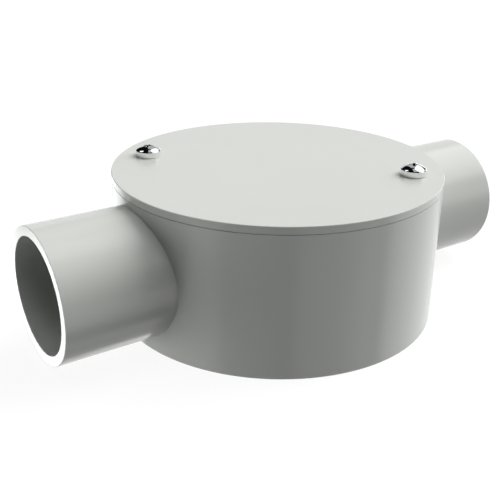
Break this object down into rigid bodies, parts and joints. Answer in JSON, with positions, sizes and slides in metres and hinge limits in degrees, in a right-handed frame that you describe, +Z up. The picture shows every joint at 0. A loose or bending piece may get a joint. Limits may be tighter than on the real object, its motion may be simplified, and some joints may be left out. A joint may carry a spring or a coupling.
{
  "type": "conduit junction box",
  "caption": "Round moulded conduit junction box with conduit sockets in line on opposite sides and a flat lid held by raised-head screws.",
  "frame": {"origin": "centre of the drum's flat underside, on the surface that the box is fixed to", "axes": "+Z up through the lid; +X along the conduit, towards the socket on the right; +Y across the conduit, away from the viewer"},
  "size_m": [0.1532, 0.098, 0.047],
  "materials": {
    "grey_upvc": "satin moulded light grey",
    "plated_steel": "bright plated",
    "insert_brass": "turned"
  },
  "bodies": {
    "base": {"box_body": "grey_upvc", "brass_insert_left": "insert_brass", "brass_insert_right": "insert_brass"},
    "lid": {"lid": "grey_upvc"},
    "screw_left": {"lid_screw_left": "plated_steel"},
    "screw_right": {"lid_screw_right": "plated_steel"}
  },
  "joints": [
    {"name": "lid_lift", "type": "slide", "parent": "base", "child": "lid", "axis": [0, 0, 1], "range_m": [0, 0.03]},
    {"name": "screw_left_withdraw", "type": "slide", "parent": "lid", "child": "screw_left", "axis": [0, 0, 1], "range_m": [0, 0.018]},
    {"name": "screw_right_withdraw", "type": "slide", "parent": "lid", "child": "screw_right", "axis": [0, 0, 1], "range_m": [0, 0.018]}
  ]
}
